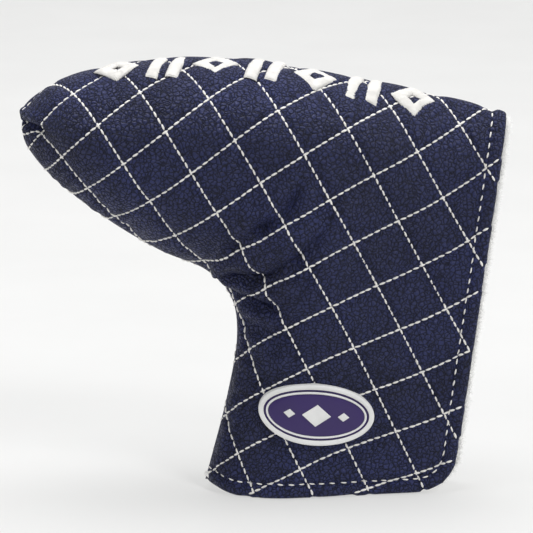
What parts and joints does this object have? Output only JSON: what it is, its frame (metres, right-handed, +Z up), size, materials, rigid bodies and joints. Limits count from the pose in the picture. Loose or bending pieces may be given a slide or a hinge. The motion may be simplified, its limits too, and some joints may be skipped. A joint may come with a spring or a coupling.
{
  "type": "blade putter head cover",
  "caption": "L-shaped quilted cover for a blade putter head, standing on its shaft opening, with a plush lining, a rear flap with hook-and-loop closure and an oval badge.",
  "frame": {"origin": "bottom centre of the bounding box, on the floor under the shaft opening", "axes": "+Z up from the shaft opening to the folded sole, +X from the toe to the open heel edge, -Y towards the badge side"},
  "size_m": [0.1496, 0.045, 0.1368],
  "materials": {
    "navy_leather": "pebbled synthetic leather, satin",
    "foam": "open foam wadding",
    "plush": "short white plush",
    "embroidery_thread": "satin-stitched thread",
    "hook_and_loop": "hook-and-loop tape",
    "white_rubber": "smooth moulded soft plastic",
    "purple_rubber": "smooth moulded soft plastic"
  },
  "bodies": {
    "cover": {"quilted_outer": "navy_leather", "foam_wadding": "foam", "plush_lining": "plush", "front_hem": "navy_leather", "seam_allowance": "navy_leather", "hook_strip": "hook_and_loop", "stitched_diamond_1": "embroidery_thread", "stitched_diamond_2": "embroidery_thread", "stitched_diamond_3": "embroidery_thread", "stitched_diamond_4": "embroidery_thread", "stitched_bar_1": "embroidery_thread", "stitched_bar_2": "embroidery_thread", "stitched_bar_3": "embroidery_thread", "stitched_bar_4": "embroidery_thread", "stitched_bar_5": "embroidery_thread", "stitched_bar_6": "embroidery_thread", "badge_base": "white_rubber", "badge_field": "purple_rubber", "badge_emblem": "white_rubber"},
    "rear_flap": {"rear_flap_outer": "navy_leather", "rear_flap_wadding": "foam", "rear_flap_lining": "plush", "rear_flap_hem": "navy_leather", "loop_strip": "hook_and_loop"}
  },
  "joints": [
    {"name": "rear_flap_open", "type": "hinge", "parent": "cover", "child": "rear_flap", "pos_m": [-0.009, 0.0085, 0], "axis": [0.6091, 0, 0.7931], "range_deg": [0, 50], "stiffness_Nm_per_rad": 0.02}
  ]
}
